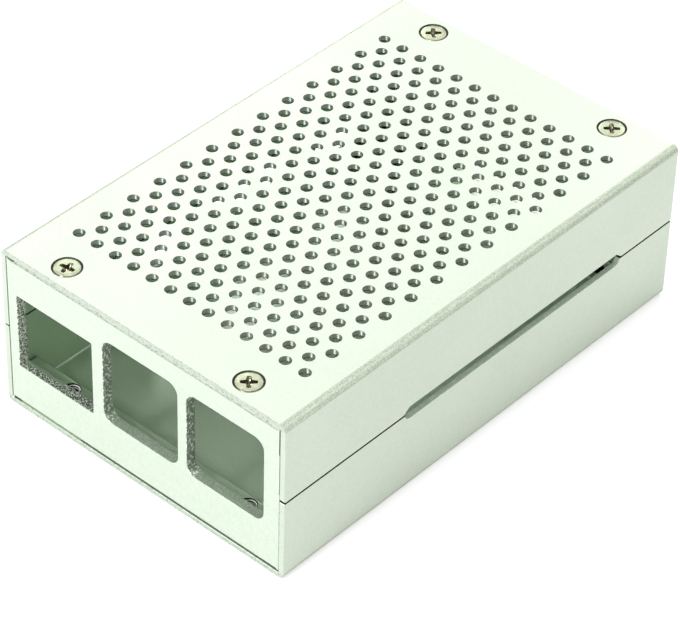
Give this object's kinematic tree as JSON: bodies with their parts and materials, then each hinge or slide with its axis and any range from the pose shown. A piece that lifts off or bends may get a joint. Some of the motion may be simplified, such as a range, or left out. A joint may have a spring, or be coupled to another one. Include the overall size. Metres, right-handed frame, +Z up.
{
  "type": "single-board computer case",
  "caption": "Vented aluminium case for a credit-card sized computer board: folded top and bottom shells screwed to end frames with port windows.",
  "frame": {"origin": "middle of the underside of the bottom shell, the face the case stands on", "axes": "+X across the case towards the ribbon slot, +Y along the case from the port end to the memory card end, +Z up"},
  "size_m": [0.0604, 0.094, 0.0314],
  "materials": {
    "shell": "fine bead-blasted, clear anodised",
    "frame": "fine bead-blasted, clear anodised, window edges milled",
    "screw": "nickel plated, satin",
    "standoff": "nickel plated, turned"
  },
  "bodies": {
    "root": {"top_shell": "shell", "bottom_shell": "shell", "front_frame": "frame", "rear_frame": "frame", "cover_screws": "screw", "base_screws": "screw", "board_standoffs": "standoff"}
  },
  "joints": []
}
